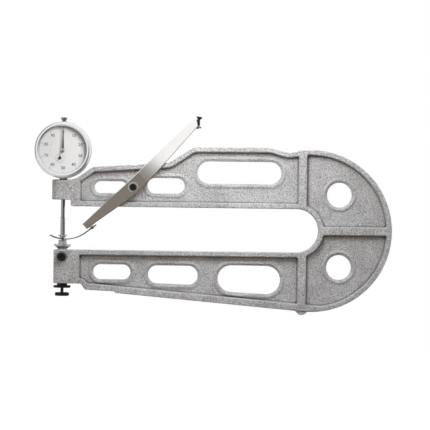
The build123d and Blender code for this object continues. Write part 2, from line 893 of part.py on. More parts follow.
# Lifting knob on the spindle's upper end
with BuildPart() as lifting_knob:
    turn_on_spindle(
        [
            (1.0 + seat, knob_bottom),
            (3.0, knob_bottom),
            (2.9, knob_bottom + 0.6),
            (1.9, knob_bottom + 1.7),
            (2.0, knob_bottom + 2.4),
            (3.0, knob_bottom + 3.0),
            (3.1, knob_bottom + 4.6),
            (2.7, knob_bottom + 4.9),
            (0, knob_bottom + 4.9),
            (0, knob_bottom + 2.7),
            (1.0 + seat, knob_bottom + 2.7),
        ]
    )
save(lifting_knob, "lifting_knob")

# Extension rod, lifting collar and contact point below the stem
with BuildPart() as extension_rod:
    turn_on_spindle(
        [
            (0, collar_top + seat),
            (extension_radius, collar_top + seat),
            (extension_radius, extension_top - 0.4),
            (extension_radius - 0.4, extension_top),
            (1.0 + seat, extension_top),
            (1.0 + seat, extension_top - 3.6),
            (0, extension_top - 3.6),
        ]
    )
    turn_on_spindle(ring_points(0, neck_radius, contact_top - 2.0, collar_top + 0.1))
save(extension_rod, "extension_rod")

with BuildPart() as lift_collar:
    turn_on_spindle(
        [
            (neck_radius + seat, collar_bottom),
            (2.7, collar_bottom),
            (3.0, collar_bottom + 0.3),
            (3.0, collar_top - 1.0),
            (collar_radius, collar_top - 0.9),
            (collar_radius, collar_top),
            (neck_radius + seat, collar_top),
        ]
    )
save(lift_collar, "lift_collar")

with BuildPart() as contact_point:
    turn_on_spindle(
        [
            (0, 0),
            (contact_radius - 0.5, 0),
            (contact_radius, 0.5),
            (contact_radius, 1.7),
            (contact_radius - 0.7, 2.2),
            (contact_radius - 0.7, 3.0),
            (contact_radius - 0.1, 3.4),
            (contact_radius - 0.1, contact_top - 0.3),
            (contact_radius - 0.4, contact_top),
            (neck_radius + seat, contact_top),
            (neck_radius + seat, contact_top - 2.1),
            (0, contact_top - 2.1),
        ]
    )
save(contact_point, "contact_point")

# Lever plate: the flat outline, bent back above the pivot, with a tab along its lower edge
edge_angle = fork_end_angle
lean_axis = 46.0
lean_direction = (math.cos(math.radians(lean_axis)), 0, math.sin(math.radians(lean_axis)))
lean_reach = math.hypot(tip[0] - pivot_x, tip[1] - pivot_z) + tip_radius + 1.0
lever_front = lever_back + lever_thickness
with BuildSketch() as lever_outline:
    with BuildSketch(mode=Mode.PRIVATE) as lower_arm:
        with BuildLine():
            Line(*lever_end)
        with Locations((pivot_x, pivot_z)):
            Circle(hub_radius)
        make_hull()
    with BuildSketch(mode=Mode.PRIVATE) as upper_arm:
        with Locations((pivot_x, pivot_z)):
            Circle(hub_radius)
        with Locations(knee):
            Circle(knee_radius)
        make_hull()
    with BuildSketch(mode=Mode.PRIVATE) as lever_tip:
        with Locations(knee):
            Circle(knee_radius)
        with Locations(tip):
            Circle(tip_radius)
        make_hull()
    add(lower_arm.sketch)
    add(upper_arm.sketch)
    add(lever_tip.sketch)

tab_plane = Plane(
    origin=place(*lever_end[1]),
    x_dir=(math.cos(math.radians(edge_angle)), 0, math.sin(math.radians(edge_angle))),
    z_dir=(0, -1, 0),
)
along = (math.cos(math.radians(edge_angle)), math.sin(math.radians(edge_angle)))
end_turn = math.radians(fork_end_angle)
arc_end = (
    fork_centre[0] + fork_radius * math.sin(end_turn),
    fork_centre[1] - fork_radius * math.cos(end_turn),
)
# Distance from the tab's lower face down to the middle of the fork's straight end
fork_drop = (arc_end[0] - lever_end[1][0]) * along[1] - (arc_end[1] - lever_end[1][1]) * along[0]
leaf_top = fork_drop - fork_thickness / 2
leaf_bottom = fork_drop + fork_thickness / 2


def rivet_places(drop):
    """Places on the two rivet axes, a distance below the tab's lower face."""
    x = lever_end[1][0] + rivet_along * along[0] + drop * along[1]
    z = lever_end[1][1] + rivet_along * along[1] - drop * along[0]
    return [Plane(origin=place(x, z, d), z_dir=(along[1], 0, -along[0])).location for d in rivet_depths]


with BuildPart() as lever_plate:
    with BuildSketch(front.offset(lever_back - 10)) as blank:
        add(lever_outline.sketch)
    extrude(blank.sketch, amount=10 + lever_thickness)
    # The side profile, cut by the outline, gives the gentle backward lean of the upper part
    side_view = Plane(
        origin=place(pivot_x, pivot_z),
        x_dir=lean_direction,
        z_dir=(lean_direction[2], 0, -lean_direction[0]),
    )
    bend_run = lean_end - bend_start
    mean_angle = math.radians((bend_angle + lean_angle) / 2)
    lean_middle = lever_back - bend_run / 2 * math.tan(math.radians(bend_angle))
    lean_back = lever_back - bend_run * math.tan(mean_angle)
    lean_tip = lean_back - (lean_reach - lean_end) * math.tan(math.radians(lean_angle))
    with BuildSketch(side_view) as strip:
        with BuildLine():
            for shift in (0, lever_thickness):
                Line((-lean_reach, lever_back + shift), (bend_start, lever_back + shift))
                Bezier(
                    (bend_start, lever_back + shift),
                    (bend_start + bend_run / 2, lean_middle + shift),
                    (lean_end, lean_back + shift),
                )
                Line((lean_end, lean_back + shift), (lean_reach, lean_tip + shift))
            Line((-lean_reach, lever_back), (-lean_reach, lever_front))
            Line((lean_reach, lean_tip), (lean_reach, lean_tip + lever_thickness))
        make_face()
    extrude(strip.sketch, amount=40.0, both=True, mode=Mode.INTERSECT)
    fronts = lever_plate.faces().filter_by(lambda face: face.normal_at().Y < -0.9)
    rims = [edge for face in fronts for edge in face.edges()]
    chamfer([edge for edge in rims if rims.count(edge) == 1], lever_edge)
    # Tab for the fork
    with BuildSketch(tab_plane.offset(-tab_reach)) as tab:
        Rectangle(tab_length, lever_thickness, align=(Align.MIN, Align.MIN))
    extrude(tab.sketch, amount=tab_reach + lever_front - 0.4)
    # Pad under the finger button
    pad_plane = Plane(
        origin=place(*button_foot),
        x_dir=(math.sin(math.radians(button_angle)), 0, -math.cos(math.radians(button_angle))),
        z_dir=(0, -1, 0),
    )
    with BuildSketch(pad_plane.offset(button_depth - 4.0)) as pad:
        RectangleRounded(7.6, lever_thickness, 0.6, align=(Align.CENTER, Align.MAX))
    extrude(pad.sketch, amount=7.6)
    peg(pivot_x, pivot_z, 0, lever_front + 1, bush_radius + running, mode=Mode.SUBTRACT)
    with Locations(*rivet_places(-lever_thickness / 2)):
        Cylinder(rivet_radius + seat, 2 * lever_thickness, mode=Mode.SUBTRACT)
    pad_axis = Axis(pad_plane.offset(button_depth).origin, pad_plane.y_dir)
    with BuildSketch(pad_plane.offset(button_depth)) as screw_hole:
        Rectangle(
            button_screw_radius + seat,
            3 * lever_thickness,
            align=(Align.MIN, Align.CENTER),
        )
    revolve(screw_hole.sketch, axis=pad_axis, mode=Mode.SUBTRACT)
save(lever_plate, "lever_plate")

# Lifting fork: a leaf curved about the fork centre, with a straight end that lies along the tab
tip_turn = math.asin((fork_tip_x - fork_centre[0]) / fork_radius)
straight_end = (fork_end_x, arc_end[1] + (fork_end_x - arc_end[0]) * math.tan(end_turn))
arc_low = (fork_centre[0], fork_centre[1] - fork_radius)
arc_tip = (
    fork_centre[0] + fork_radius * math.sin(tip_turn),
    fork_centre[1] - fork_radius * math.cos(tip_turn),
)
with BuildPart() as lift_fork:
    with BuildSketch(front.offset(-fork_width / 2)) as leaf:
        with BuildLine() as middle:
            ThreePointArc(arc_tip, arc_low, arc_end)
            Line(arc_end, straight_end)
        trace(middle.line, fork_thickness)
    extrude(leaf.sketch, amount=fork_width)
    # Slot between the two tines, open at the tip
    with BuildSketch(Plane(origin=place(0, 0), z_dir=(0, 0, 1))) as gap:
        with Locations((fork_slot_end, 0)):
            SlotOverall(
                2 * (fork_slot_end - fork_tip_x),
                fork_slot_width,
                align=(Align.MAX, Align.CENTER),
            )
    extrude(gap.sketch, amount=arc_tip[1] + 3, mode=Mode.SUBTRACT)
    with Locations(*rivet_places(fork_drop)):
        Cylinder(rivet_radius + seat, 4 * fork_thickness, mode=Mode.SUBTRACT)
save(lift_fork, "lift_fork")

# Spacers and rivets that hold the fork to the tab
spacer_height = leaf_top - 2 * seat
with BuildPart() as fork_spacers:
    with Locations(*rivet_places(leaf_top / 2)):
        Cylinder(spacer_radius, spacer_height)
        Cylinder(rivet_radius + seat, spacer_height, mode=Mode.SUBTRACT)
save(fork_spacers, "fork_spacers")

rivet_top = -lever_thickness - seat
rivet_bottom = leaf_bottom + seat
with BuildPart() as fork_rivets:
    with Locations(*rivet_places((rivet_top + rivet_bottom) / 2)):
        Cylinder(rivet_radius, rivet_bottom - rivet_top)
    with Locations(*rivet_places(rivet_top - rivet_head / 2)):
        Cone(rivet_radius, 1.8 * rivet_radius, rivet_head)
    with Locations(*rivet_places(rivet_bottom + rivet_head / 2)):
        Cone(1.8 * rivet_radius, rivet_radius, rivet_head)
save(fork_rivets, "fork_rivets")

# Pivot: a washer on the boss, a flanged bush through the lever and the socket-head screw that holds it
with BuildPart() as pivot_washer:
    turn_in_depth(
        pivot_x,
        pivot_z,
        ring_points(
            bush_radius + running,
            pivot_boss_radius - 0.2,
            pivot_boss_front + seat,
            lever_back - face_gap,
        ),
    )
save(pivot_washer, "pivot_washer")

flange_back = lever_front + face_gap
flange_front = flange_back + bush_flange_thickness
with BuildPart() as pivot_bush:
    turn_in_depth(
        pivot_x,
        pivot_z,
        [
            (pivot_screw_radius + seat, pivot_boss_front + seat),
            (bush_radius, pivot_boss_front + seat),
            (bush_radius, flange_back),
            (bush_flange_radius, flange_back),
            (bush_flange_radius, flange_front - 0.3),
            (bush_flange_radius - 0.3, flange_front),
            (pivot_screw_radius + seat, flange_front),
        ],
    )
save(pivot_bush, "pivot_bush")

with BuildPart() as pivot_screw:
    turn_in_depth(
        pivot_x,
        pivot_z,
        [
            (0, -web_half + 0.3),
            (pivot_screw_radius, -web_half + 0.3),
            (pivot_screw_radius, flange_front + seat),
            (pivot_head_radius, flange_front + seat),
            (pivot_head_radius, flange_front + pivot_head_height - 0.4),
            (pivot_head_radius - 0.4, flange_front + pivot_head_height),
            (0, flange_front + pivot_head_height),
        ],
    )
    hex_socket(pivot_x, pivot_z, flange_front + pivot_head_height, flange_front + 0.8, pivot_socket)
save(pivot_screw, "pivot_screw")

# Finger button, a dished spool, and the screw that holds it from below the pad
with BuildPart() as finger_button:
    with BuildSketch(pad_plane.offset(button_depth)) as spool:
        with BuildLine():
            Polyline(
                (0, 3.4),
                (button_screw_radius + seat, 3.4),
                (button_screw_radius + seat, seat),
                (1.5, seat),
                (2.0, 2.0),
                (1.1, button_height - 3.0),
                (3.1, button_height - 0.6),
                (2.7, button_height),
                (0, button_height - 1.3),
                close=True,
            )
        make_face()
    revolve(spool.sketch, axis=pad_axis)
save(finger_button, "finger_button")

with BuildPart() as button_screw:
    with BuildSketch(pad_plane.offset(button_depth)) as shank:
        with BuildLine():
            Polyline(
                (0, 3.3),
                (button_screw_radius, 3.3),
                (button_screw_radius, -lever_thickness - seat),
                (1.5, -lever_thickness - seat),
                (1.2, -lever_thickness - 1.0),
                (0, -lever_thickness - 1.0),
                close=True,
            )
        make_face()
    revolve(shank.sketch, axis=pad_axis)
save(button_screw, "button_screw")

# Anvil, screwed on its adjusting screw, with the lock nut and the clamp screw
screw_end = anvil_shank_bottom + screw_grip
with BuildPart() as anvil:
    turn_on_spindle(
        [
            (0, anvil_shank_bottom),
            (anvil_shank_radius - 0.4, anvil_shank_bottom),
            (anvil_shank_radius, anvil_shank_bottom + 0.4),
            (anvil_shank_radius, anvil_cone_bottom),
            (anvil_radius - 0.4, anvil_top - 1.6),
            (anvil_radius, anvil_top - 1.2),
            (anvil_radius, anvil_top - 0.35),
            (anvil_radius - 0.35, anvil_top),
            (0, anvil_top),
        ]
    )
    turn_on_spindle(
        ring_points(0, screw_radius + seat, anvil_shank_bottom - 1, screw_end + seat),
        mode=Mode.SUBTRACT,
    )
save(anvil, "anvil")

with BuildPart() as adjusting_screw:
    turn_on_spindle(
        [
            (0, screw_head_bottom),
            (screw_head_radius - 0.7, screw_head_bottom),
            (screw_head_radius, screw_head_bottom + 0.7),
            (screw_head_radius, screw_head_top - 0.7),
            (screw_head_radius - 0.7, screw_head_top),
            (screw_radius, screw_head_top),
            (screw_radius, screw_end - 0.3),
            (screw_radius - 0.3, screw_end),
            (0, screw_end),
        ]
    )
    knurl(screw_head_radius, screw_head_bottom, screw_head_top, screw_head_grooves)
save(adjusting_screw, "adjusting_screw")

nut_top = block_bottom - face_gap
flange_top = nut_top - nut_collar_height
with BuildPart() as lock_nut:
    turn_on_spindle(
        [
            (screw_radius + face_gap, flange_top - nut_flange_thickness),
            (nut_flange_radius - 0.5, flange_top - nut_flange_thickness),
            (nut_flange_radius, flange_top - nut_flange_thickness + 0.5),
            (nut_flange_radius, flange_top - 0.5),
            (nut_flange_radius - 0.5, flange_top),
            (nut_collar_radius, flange_top),
            (nut_collar_radius, nut_top),
            (screw_radius + face_gap, nut_top),
        ]
    )
    knurl(nut_flange_radius, flange_top - nut_flange_thickness, flange_top, nut_grooves)
save(lock_nut, "lock_nut")

with BuildPart() as clamp_washer:
    turn_in_depth(
        0,
        clamp_z,
        ring_points(
            clamp_screw_radius + face_gap,
            clamp_washer_radius,
            rim_half + seat,
            rim_half + clamp_washer_thickness,
        ),
    )
save(clamp_washer, "clamp_washer")

clamp_head_back = rim_half + clamp_washer_thickness + face_gap
clamp_head_front = clamp_head_back + clamp_head_height
with BuildPart() as clamp_screw:
    turn_in_depth(
        0,
        clamp_z,
        [
            (0, anvil_shank_radius + 2 * face_gap),
            (clamp_screw_radius, anvil_shank_radius + 2 * face_gap),
            (clamp_screw_radius, clamp_head_back),
            (clamp_head_radius, clamp_head_back),
            (clamp_head_radius, clamp_head_front - 0.6),
            (clamp_head_radius - 0.6, clamp_head_front),
            (0, clamp_head_front),
        ],
    )
    with BuildSketch(front.offset(clamp_head_back)) as grip:
        with Locations((0, clamp_z)):
            with PolarLocations(clamp_head_radius + 0.1, clamp_head_grooves):
                Circle(0.3)
    extrude(grip.sketch, amount=clamp_head_height, mode=Mode.SUBTRACT)
    hex_socket(0, clamp_z, clamp_head_front, clamp_head_front - 2.5, clamp_socket)
save(clamp_screw, "clamp_screw")
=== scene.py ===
import json
import math

import bpy
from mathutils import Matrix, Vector


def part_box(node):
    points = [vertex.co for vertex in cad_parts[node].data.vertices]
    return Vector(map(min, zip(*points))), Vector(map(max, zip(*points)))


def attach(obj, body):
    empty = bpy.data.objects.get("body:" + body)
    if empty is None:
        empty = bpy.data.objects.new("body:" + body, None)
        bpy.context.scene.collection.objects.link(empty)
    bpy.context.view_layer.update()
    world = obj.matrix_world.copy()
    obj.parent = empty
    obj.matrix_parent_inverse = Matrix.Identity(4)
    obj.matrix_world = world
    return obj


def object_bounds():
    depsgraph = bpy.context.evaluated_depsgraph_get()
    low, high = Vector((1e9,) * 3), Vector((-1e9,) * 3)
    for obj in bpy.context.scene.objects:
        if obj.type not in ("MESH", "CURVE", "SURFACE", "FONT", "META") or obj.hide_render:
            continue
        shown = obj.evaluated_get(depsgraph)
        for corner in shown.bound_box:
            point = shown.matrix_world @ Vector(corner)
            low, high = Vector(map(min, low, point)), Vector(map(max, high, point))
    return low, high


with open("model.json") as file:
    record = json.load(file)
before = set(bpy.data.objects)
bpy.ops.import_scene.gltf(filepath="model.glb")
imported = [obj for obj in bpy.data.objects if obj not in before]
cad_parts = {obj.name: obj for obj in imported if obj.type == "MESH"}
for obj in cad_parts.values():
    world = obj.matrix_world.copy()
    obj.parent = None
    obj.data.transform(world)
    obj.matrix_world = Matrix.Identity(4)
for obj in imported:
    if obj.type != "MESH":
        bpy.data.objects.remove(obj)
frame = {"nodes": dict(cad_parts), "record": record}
nodes = frame["nodes"]
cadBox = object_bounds()

# The dial's centre and the fronts of its faces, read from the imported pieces
bezelLow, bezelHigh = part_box("bezel")
dialX = (bezelLow[0] + bezelHigh[0]) / 2
dialZ = (bezelLow[2] + bezelHigh[2]) / 2
bezelRadius = (bezelHigh[0] - bezelLow[0]) / 2
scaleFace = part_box("scale_ring")[0][1]
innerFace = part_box("inner_dial")[0][1]
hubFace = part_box("main_pointer")[0][1]


# Small helpers for shader trees
def newGroup(name, inputs, outputs):
    tree = bpy.data.node_groups.new(name, "ShaderNodeTree")
    for label, kind, value in inputs:
        socket = tree.interface.new_socket(label, in_out="INPUT", socket_type=kind)
        socket.default_value = value
    for label, kind in outputs:
        tree.interface.new_socket(label, in_out="OUTPUT", socket_type=kind)
    return tree, tree.nodes.new("NodeGroupInput"), tree.nodes.new("NodeGroupOutput")


# A plain value is typed into the socket, and another node's output is linked to it
def fill(tree, socket, value):
    if isinstance(value, (int, float, tuple)):
        socket.default_value = value
    else:
        tree.links.new(value, socket)


def mathNode(tree, operation, first, second=None, clamp=False):
    node = tree.nodes.new("ShaderNodeMath")
    node.operation = operation
    node.use_clamp = clamp
    fill(tree, node.inputs[0], first)
    if second is not None:
        fill(tree, node.inputs[1], second)
    return node.outputs[0]


def noiseNode(tree, vector, scale, detail, roughness):
    node = tree.nodes.new("ShaderNodeTexNoise")
    node.inputs["Detail"].default_value = detail
    node.inputs["Roughness"].default_value = roughness
    fill(tree, node.inputs["Scale"], scale)
    tree.links.new(vector, node.inputs["Vector"])
    return node.outputs["Fac"]


def rangeNode(tree, value, low, high, newLow, newHigh):
    node = tree.nodes.new("ShaderNodeMapRange")
    tree.links.new(value, node.inputs["Value"])
    for name, number in (("From Min", low), ("From Max", high), ("To Min", newLow), ("To Max", newHigh)):
        fill(tree, node.inputs[name], number)
    return node.outputs["Result"]


def rising(tree, value, span):
    return rangeNode(tree, value, *span, 0.0, 1.0)


def falling(tree, value, span):
    return rangeNode(tree, value, *span, 1.0, 0.0)


def product(tree, first, *others):
    for other in others:
        first = mathNode(tree, "MULTIPLY", first, other)
    return first


# A colour mix keeps its two colours in sockets 6 and 7, and gives the result in output 2
def mixColour(tree, factor, first, second):
    node = tree.nodes.new("ShaderNodeMix")
    node.data_type = "RGBA"
    for socket, value in ((node.inputs[0], factor), (node.inputs[6], first), (node.inputs[7], second)):
        fill(tree, socket, value)
    return node.outputs[2]


# Every finish takes a place and two ends of gloss, and gives a colour, a gloss and a height
finishInputs = [
    ("Vector", "NodeSocketVector", (0, 0, 0)),
    ("Roughness Low", "NodeSocketFloat", 0.3),
    ("Roughness High", "NodeSocketFloat", 0.5),
]
finishOutputs = [
    ("Color", "NodeSocketColor"),
    ("Roughness", "NodeSocketFloat"),
    ("Height", "NodeSocketFloat"),
]


def finishEnds(tree, given, result, colour, glossMask, height):
    glossEnds = given.outputs["Roughness Low"], given.outputs["Roughness High"]
    gloss = rangeNode(tree, glossMask, 0.0, 1.0, *glossEnds)
    for label, value in (("Color", colour), ("Roughness", gloss), ("Height", height)):
        tree.links.new(value, result.inputs[label])
    return tree


# Hammered enamel: soft cells with darker hollows, bright flakes, and slow drifts of tone
hammerGrain = {
    "cellSmoothness": 0.5,
    "fineScale": 1.3,
    "driftScale": 45.0,
    "hollowSpan": (0.15, 0.75, 0.0, 0.45),
    "speckSpan": (0.33, 0.67, 0.0, 0.5),
    "driftSpan": (0.3, 0.7, -0.1, 0.1),
    "rippleHeight": 0.8,
}


def makeHammerGroup():
    inputs = finishInputs + [
        ("Cells", "NodeSocketFloat", 700.0),
        ("Light Flake", "NodeSocketColor", (0.6, 0.6, 0.62, 1)),
        ("Dark Hollow", "NodeSocketColor", (0.3, 0.3, 0.31, 1)),
    ]
    tree, given, result = newGroup("hammeredEnamel", inputs, finishOutputs)
    vector = given.outputs["Vector"]
    cells = tree.nodes.new("ShaderNodeTexVoronoi")
    cells.feature = "SMOOTH_F1"
    cells.inputs["Smoothness"].default_value = hammerGrain["cellSmoothness"]
    tree.links.new(vector, cells.inputs["Vector"])
    tree.links.new(given.outputs["Cells"], cells.inputs["Scale"])
    fineScale = product(tree, given.outputs["Cells"], hammerGrain["fineScale"])
    fine = noiseNode(tree, vector, fineScale, detail=2.0, roughness=0.6)
    drift = noiseNode(tree, vector, hammerGrain["driftScale"], detail=3.0, roughness=0.6)
    hollow = rangeNode(tree, cells.outputs["Distance"], *hammerGrain["hollowSpan"])
    blend = mathNode(tree, "ADD", hollow, rangeNode(tree, fine, *hammerGrain["speckSpan"]))
    blend = mathNode(tree, "ADD", blend, rangeNode(tree, drift, *hammerGrain["driftSpan"]), clamp=True)
    colour = mixColour(tree, blend, given.outputs["Light Flake"], given.outputs["Dark Hollow"])
    ripple = product(tree, fine, hammerGrain["rippleHeight"])
    height = mathNode(tree, "SUBTRACT", ripple, cells.outputs["Distance"])
    return finishEnds(tree, given, result, colour, blend, height)


# Brushed or ground metal: fine streaks along the piece's own X, with faint handling marks
brushGrain = {
    "stretch": (0.03, 1.0, 1.0),
    "markScale": 90.0,
    "streakSpan": (0.3, 0.7, 0.0, 0.5),
    "markSpan": (0.35, 0.7, 0.0, 0.5),
}


def makeBrushGroup():
    inputs = finishInputs + [
        ("Streaks", "NodeSocketFloat", 2400.0),
        ("Metal", "NodeSocketColor", (0.6, 0.6, 0.6, 1)),
        ("Shade", "NodeSocketColor", (0.4, 0.4, 0.4, 1)),
    ]
    tree, given, result = newGroup("brushedGrain", inputs, finishOutputs)
    vector = given.outputs["Vector"]
    stretch = tree.nodes.new("ShaderNodeMapping")
    stretch.inputs["Scale"].default_value = brushGrain["stretch"]
    tree.links.new(vector, stretch.inputs["Vector"])
    streaks = noiseNode(tree, stretch.outputs["Vector"], given.outputs["Streaks"], detail=2.0, roughness=0.6)
    marks = noiseNode(tree, vector, brushGrain["markScale"], detail=4.0, roughness=0.62)
    blend = rangeNode(tree, streaks, *brushGrain["streakSpan"])
    blend = mathNode(tree, "ADD", blend, rangeNode(tree, marks, *brushGrain["markSpan"]), clamp=True)
    colour = mixColour(tree, blend, given.outputs["Metal"], given.outputs["Shade"])
    return finishEnds(tree, given, result, colour, blend, streaks)


# Dust and handling: faint cloudy change of tone on plain finishes
dustCloud = {"span": (0.38, 0.68), "grainScale": 2600.0}


def makeDustGroup():
    inputs = finishInputs + [
        ("Size", "NodeSocketFloat", 160.0),
        ("Clean", "NodeSocketColor", (0.5, 0.5, 0.5, 1)),
        ("Dusty", "NodeSocketColor", (0.6, 0.6, 0.6, 1)),
        ("Amount", "NodeSocketFloat", 0.4),
    ]
    tree, given, result = newGroup("handlingDust", inputs, finishOutputs)
    vector = given.outputs["Vector"]
    cloud = noiseNode(tree, vector, given.outputs["Size"], detail=5.0, roughness=0.6)
    mask = rising(tree, cloud, dustCloud["span"])
    factor = mathNode(tree, "MULTIPLY", mask, given.outputs["Amount"], clamp=True)
    colour = mixColour(tree, factor, given.outputs["Clean"], given.outputs["Dusty"])
    grain = noiseNode(tree, vector, dustCloud["grainScale"], detail=2.0, roughness=0.5)
    return finishEnds(tree, given, result, colour, mask, grain)


# Grip grooves around a rim: a ridge height that follows the angle about the piece's own centre
def makeKnurlGroup():
    inputs = [
        ("Vector", "NodeSocketVector", (0, 0, 0)),
        ("Ridges", "NodeSocketFloat", 120.0),
        ("Radius", "NodeSocketFloat", 0.02),
    ]
    tree, given, result = newGroup("rimKnurl", inputs, [("Height", "NodeSocketFloat")])
    split = tree.nodes.new("ShaderNodeSeparateXYZ")
    tree.links.new(given.outputs["Vector"], split.inputs[0])
    across, upward = split.outputs["X"], split.outputs["Z"]
    angle = mathNode(tree, "ARCTAN2", across, upward)
    wave = mathNode(tree, "SINE", product(tree, angle, given.outputs["Ridges"]))
    squares = mathNode(tree, "ADD", product(tree, across, across), product(tree, upward, upward))
    reach = mathNode(tree, "SQRT", squares)
    band = mathNode(tree, "GREATER_THAN", reach, given.outputs["Radius"])
    tree.links.new(product(tree, wave, band), result.inputs["Height"])
    return tree


hammerGroup = makeHammerGroup()
brushGroup = makeBrushGroup()
dustGroup = makeDustGroup()
knurlGroup = makeKnurlGroup()
print("shared effects built")


# A finish is one shared effect in a material of its own. The bump is a strength and a distance
def finishFrom(
    name, group, values, bump, metallic=0.0, coat=0.0, coatRoughness=0.1, turn=(0, 0, 0), alpha=1.0
):
    material = bpy.data.materials.new(name)
    material.use_nodes = True
    tree = material.node_tree
    shader = tree.nodes["Principled BSDF"]
    shader.inputs["Metallic"].default_value = metallic
    shader.inputs["Coat Weight"].default_value = coat
    shader.inputs["Coat Roughness"].default_value = coatRoughness
    shader.inputs["Alpha"].default_value = alpha
    place = tree.nodes.new("ShaderNodeTexCoord")
    mapping = tree.nodes.new("ShaderNodeMapping")
    mapping.inputs["Rotation"].default_value = [math.radians(angle) for angle in turn]
    effect = tree.nodes.new("ShaderNodeGroup")
    effect.node_tree = group
    for label, value in values.items():
        effect.inputs[label].default_value = value
    relief = tree.nodes.new("ShaderNodeBump")
    relief.inputs["Strength"].default_value = bump[0]
    relief.inputs["Distance"].default_value = bump[1]
    tree.links.new(place.outputs["Object"], mapping.inputs["Vector"])
    tree.links.new(mapping.outputs["Vector"], effect.inputs["Vector"])
    tree.links.new(effect.outputs["Color"], shader.inputs["Base Color"])
    tree.links.new(effect.outputs["Roughness"], shader.inputs["Roughness"])
    tree.links.new(effect.outputs["Height"], relief.inputs["Height"])
    tree.links.new(relief.outputs["Normal"], shader.inputs["Normal"])
    return material


# A second bump under the first gives a turned piece its grip grooves
def addKnurl(material, centre, radius, look):
    tree = material.node_tree
    shift = tree.nodes.new("ShaderNodeMapping")
    shift.inputs["Location"].default_value = (-centre[0], 0.0, -centre[1])
    effect = tree.nodes.new("ShaderNodeGroup")
    effect.node_tree = knurlGroup
    effect.inputs["Ridges"].default_value = look["ridges"]
    effect.inputs["Radius"].default_value = radius - look["rim"]
    relief = tree.nodes.new("ShaderNodeBump")
    relief.inputs["Distance"].default_value = look["depth"]
    tree.links.new(tree.nodes["Texture Coordinate"].outputs["Object"], shift.inputs["Vector"])
    tree.links.new(shift.outputs["Vector"], effect.inputs["Vector"])
    tree.links.new(effect.outputs["Height"], relief.inputs["Height"])
    tree.links.new(relief.outputs["Normal"], tree.nodes["Bump"].inputs["Normal"])


# Dirt and painted shade darken the inner corners of a casting, and its outer corners are lightened by rubbing
# and a painted highlight
def ageCorners(material, look):
    tree = material.node_tree
    shader = tree.nodes["Principled BSDF"]
    colour = shader.inputs["Base Color"].links[0].from_socket
    for inside, reach, span, tone in (
        (False, look["dirtShadeReach"], look["dirtShadeSpan"], look["dirtShade"]),
        (True, look["rubSheenReach"], look["rubSheenSpan"], look["rubSheen"]),
    ):
        corner = tree.nodes.new("ShaderNodeAmbientOcclusion")
        corner.samples = look["samples"]
        corner.only_local = inside
        corner.inside = inside
        corner.inputs["Distance"].default_value = reach
        mask = rangeNode(tree, corner.outputs["AO"], *span)
        colour = mixColour(tree, mask, colour, tone)
    tree.links.new(colour, shader.inputs["Base Color"])


def grey(value, warm=0.0):
    return (value * (1 + warm), value, value * (1 - warm), 1.0)


plainBump = {"strength": 0.1, "distance": 0.00003, "printDistance": 0.00001}


def plainFinish(name, clean, dusty, size, gloss, distance=plainBump["distance"], **settings):
    values = {
        "Size": size,
        "Clean": clean,
        "Dusty": dusty,
        "Roughness Low": gloss[0],
        "Roughness High": gloss[1],
    }
    return finishFrom(name, dustGroup, values, (plainBump["strength"], distance), **settings)


leverGrain = (0, 37, 0)  # the grain runs along the lifting lever


def brushedFinish(name, metal, shade, gloss, turn=leverGrain):
    values = {"Metal": metal, "Shade": shade, "Roughness Low": gloss[0], "Roughness High": gloss[1]}
    bump = (plainBump["strength"], plainBump["distance"])
    return finishFrom(name, brushGroup, values, bump, metallic=1.0, turn=turn)


hammerLook = {
    "Cells": 900.0,
    "Light Flake": (0.87, 0.87, 0.88, 1),
    "Dark Hollow": (0.17, 0.165, 0.155, 1),
    "Roughness Low": 0.34,
    "Roughness High": 0.5,
}
hammerCoat = {"bump": (0.9, 0.0006), "coat": 0.2, "coatRoughness": 0.2, "metallic": 0.25}
# Painted shade with dirt in the inner corners, and a painted highlight with rubbed wear on the outer edges
cornerLook = {
    "samples": 8,
    "dirtShadeReach": 0.003,
    "dirtShadeSpan": (0.42, 0.85, 1.0, 0.0),
    "dirtShade": (0.03, 0.027, 0.025, 1),
    "rubSheenReach": 0.0012,
    "rubSheenSpan": (0.5, 0.95, 0.2, 0.0),
    "rubSheen": (0.8, 0.8, 0.8, 1),
}
hammerPaint = finishFrom("hammerPaint", hammerGroup, hammerLook, **hammerCoat)
ageCorners(hammerPaint, cornerLook)

# One finish for each slot in the record
brassLight = (0.78, 0.58, 0.27, 1)
brassDark = (0.6, 0.42, 0.18, 1)
dialClean = (0.92, 0.92, 0.91, 1)
dialDusty = (0.88, 0.88, 0.865, 1)
glassClean = (0.9, 0.93, 0.94, 1)
glassDusty = (0.86, 0.88, 0.88, 1)
glassAlpha = 0.03
printDistance = plainBump["printDistance"]
materials = {
    "hammer_paint": hammerPaint,
    "case_metal": plainFinish("caseMetal", grey(0.58), grey(0.5), 220.0, (0.24, 0.36), metallic=1.0),
    "bright_chrome": plainFinish("brightChrome", grey(0.86), grey(0.74), 260.0, (0.07, 0.14), metallic=1.0),
    "satin_steel": brushedFinish("satinSteel", grey(0.95, 0.01), grey(0.92, 0.02), (0.08, 0.12)),
    "dark_steel": brushedFinish("darkSteel", grey(0.045, 0.05), grey(0.03, 0.05), (0.25, 0.4)),
    "black_steel": plainFinish("blackSteel", grey(0.01), grey(0.03), 400.0, (0.3, 0.42), metallic=0.4),
    "movement_brass": brushedFinish("movementBrass", brassLight, brassDark, (0.25, 0.4)),
    "spring_steel": plainFinish(
        "springSteel", grey(0.5, -0.02), grey(0.34), 500.0, (0.22, 0.36), metallic=1.0
    ),
    "dial_white": plainFinish("dialWhite", dialClean, dialDusty, 70.0, (0.45, 0.6)),
    "pointer_black": plainFinish("pointerBlack", grey(0.01), grey(0.025), 700.0, (0.4, 0.55)),
    "crystal_clear": plainFinish(
        "crystalClear", glassClean, glassDusty, 120.0, (0.03, 0.08), printDistance, alpha=glassAlpha
    ),
    "black_plastic": plainFinish("blackPlastic", grey(0.006), grey(0.015), 500.0, (0.45, 0.6)),
}
printInk = plainFinish("printInk", grey(0.04), grey(0.08), 900.0, (0.5, 0.65), printDistance)

